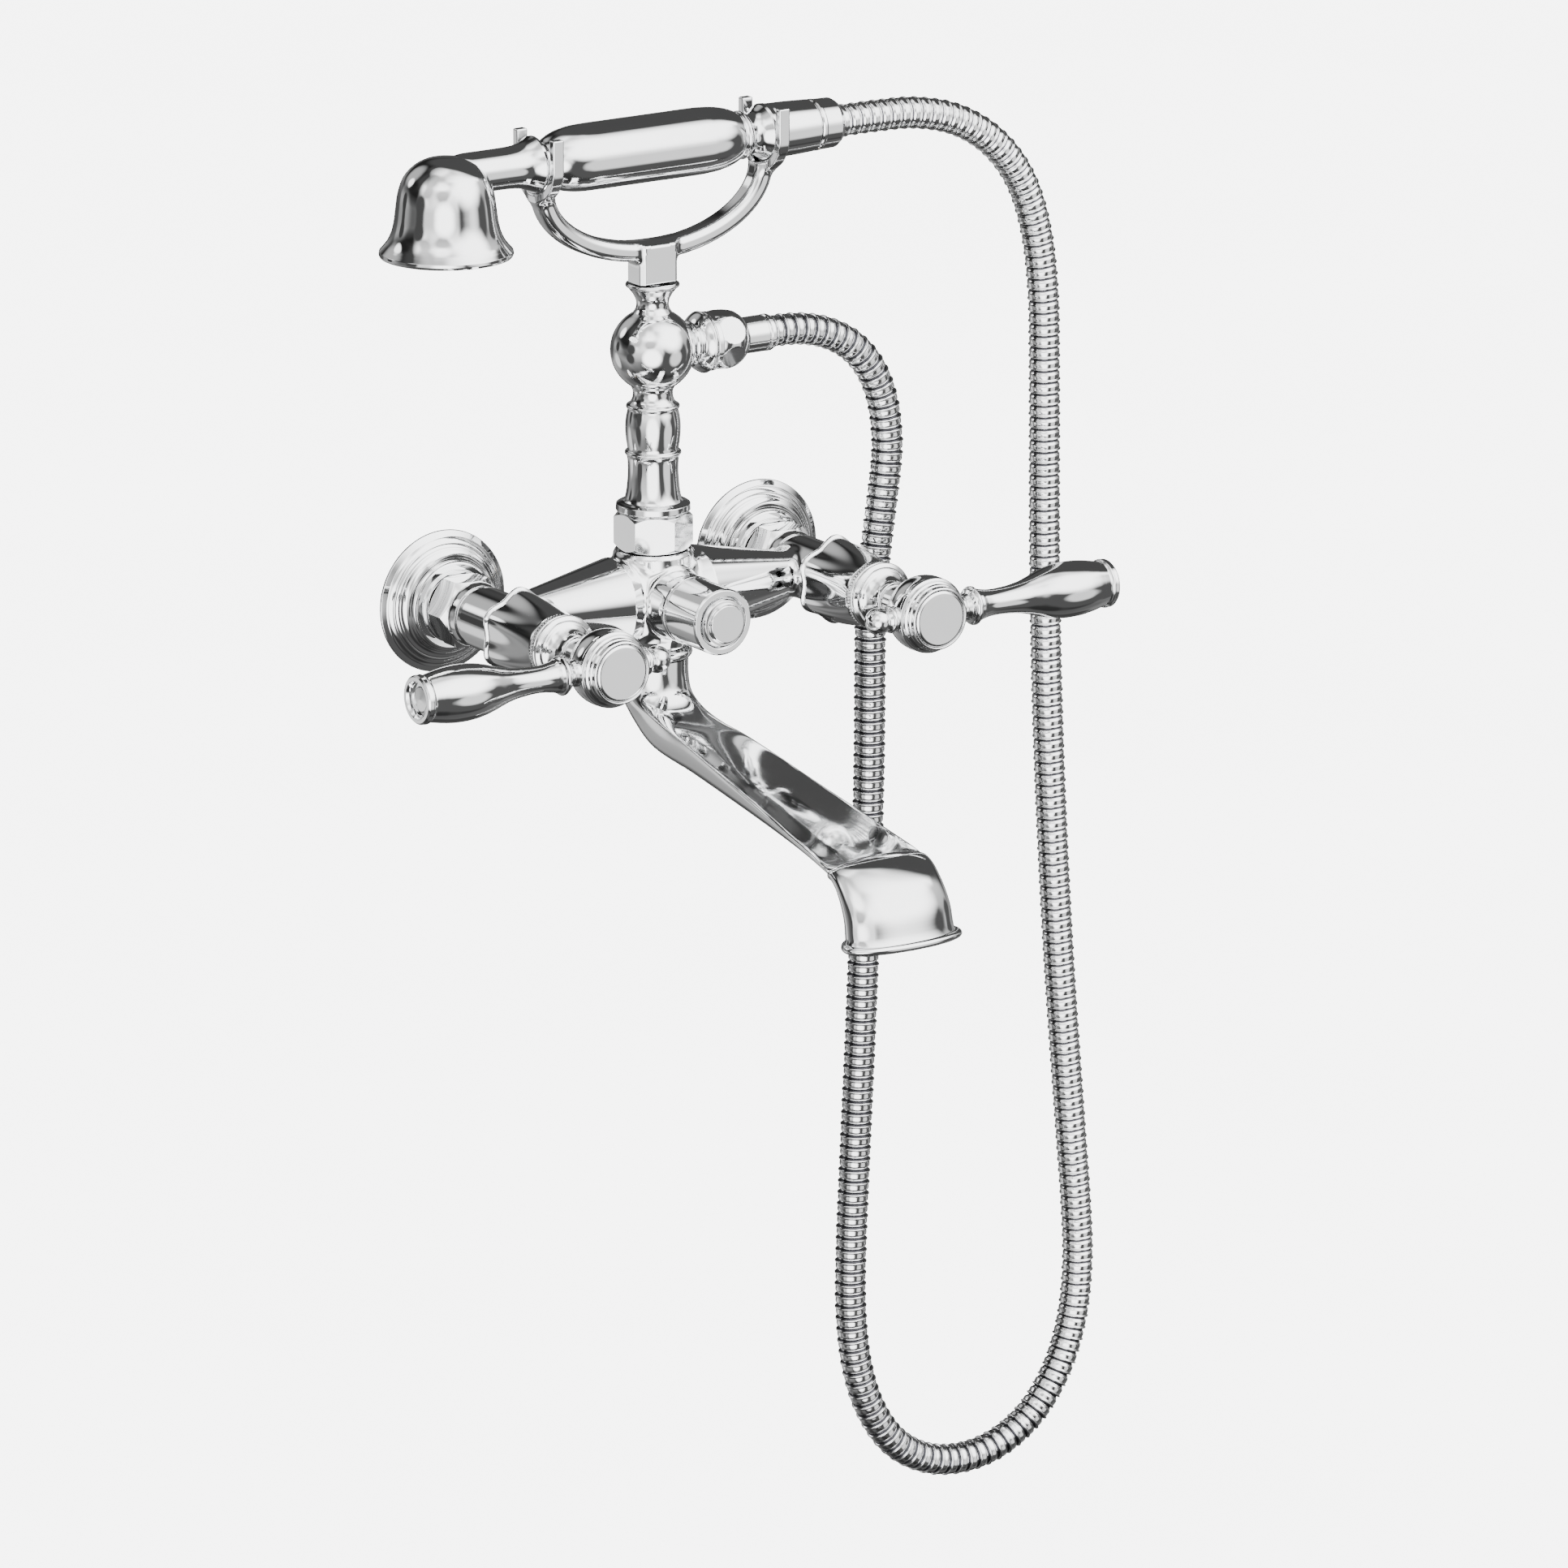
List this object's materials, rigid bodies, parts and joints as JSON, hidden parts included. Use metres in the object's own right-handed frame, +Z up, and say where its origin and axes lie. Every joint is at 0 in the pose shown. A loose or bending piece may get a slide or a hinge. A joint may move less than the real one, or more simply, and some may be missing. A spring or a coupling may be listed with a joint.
{
  "type": "wall mounted bath mixer with hand shower",
  "caption": "Exposed wall mounted bath mixer with lever valves, curved spout, pull diverter, riser with cradle, and a telephone style hand shower on a flexible hose.",
  "frame": {"origin": "on the wall plane, midway between the two inlet centres", "axes": "+X along the wall to the right, +Y into the wall, +Z up; the room is towards -Y"},
  "size_m": [0.4495, 0.2899, 0.708],
  "materials": {
    "chrome": "polished chrome plate on brass",
    "hose_chrome": "polished chrome plated interlocked steel hose",
    "brass": "machined brass",
    "steel": "plain stainless steel",
    "rubber": "matt black rubber",
    "fibre": "red sealing fibre",
    "plastic": "light grey moulded plastic",
    "ceramic": "ground white ceramic"
  },
  "bodies": {
    "root": {"cold_bonnet": "chrome", "cold_cartridge": "brass", "cold_ceramic_disc": "ceramic", "cold_escutcheon": "chrome", "cold_inlet_coupler": "brass", "cold_inlet_washer": "fibre", "cold_knurled_ring": "chrome", "cold_union_nut": "chrome", "cradle": "chrome", "cradle_set_screw": "steel", "diverter_sleeve": "chrome", "diverter_spring": "steel", "hose": "hose_chrome", "hose_ferrule": "chrome", "hose_nut": "chrome", "hose_washer": "rubber", "hot_bonnet": "chrome", "hot_cartridge": "brass", "hot_ceramic_disc": "ceramic", "hot_escutcheon": "chrome", "hot_inlet_coupler": "brass", "hot_inlet_washer": "fibre", "hot_knurled_ring": "chrome", "hot_union_nut": "chrome", "mixer_body": "chrome", "outlet_fitting": "chrome", "riser_column": "chrome", "riser_union_nut": "chrome", "riser_washer": "fibre", "spout_collar": "chrome"},
    "hot_lever": {"hot_face_cap": "chrome", "hot_lever_finial": "chrome", "hot_lever_handle": "chrome", "hot_lever_hub": "chrome", "hot_lever_screw": "steel", "hot_spindle": "brass"},
    "cold_lever": {"cold_face_cap": "chrome", "cold_lever_finial": "chrome", "cold_lever_handle": "chrome", "cold_lever_hub": "chrome", "cold_lever_screw": "steel", "cold_spindle": "brass"},
    "diverter": {"diverter_knob": "chrome", "diverter_button": "chrome", "diverter_stem": "brass", "diverter_seal": "rubber"},
    "spout": {"spout": "chrome", "spout_o_ring": "rubber"},
    "handset": {"handset_arm": "chrome", "handset_bell": "chrome", "handset_check_valve": "plastic", "handset_cone_nut": "chrome", "handset_grip": "chrome", "handset_inner_tube": "brass", "handset_spray_plate": "plastic", "handset_tail": "chrome", "handset_washer": "rubber"}
  },
  "joints": [
    {"name": "hot_lever_turn", "type": "hinge", "parent": "root", "child": "hot_lever", "pos_m": [-0.089, -0.147, 0], "axis": [0, -1, 0], "range_deg": [0, 90]},
    {"name": "cold_lever_turn", "type": "hinge", "parent": "root", "child": "cold_lever", "pos_m": [0.089, -0.147, 0], "axis": [0, 1, 0], "range_deg": [0, 90]},
    {"name": "diverter_pull", "type": "slide", "parent": "root", "child": "diverter", "axis": [0, -1, 0], "range_m": [0, 0.008], "stiffness_N_per_m": 200, "springref_m": -0.003, "deforming": ["diverter_spring"]},
    {"name": "spout_swivel", "type": "hinge", "parent": "root", "child": "spout", "pos_m": [0, -0.0478, -0.03], "axis": [0, 0, 1], "range_deg": [-25, 25]},
    {"name": "handset_lift", "type": "slide", "parent": "root", "child": "handset", "axis": [0, 0, 1], "range_m": [0, 0.032]}
  ]
}
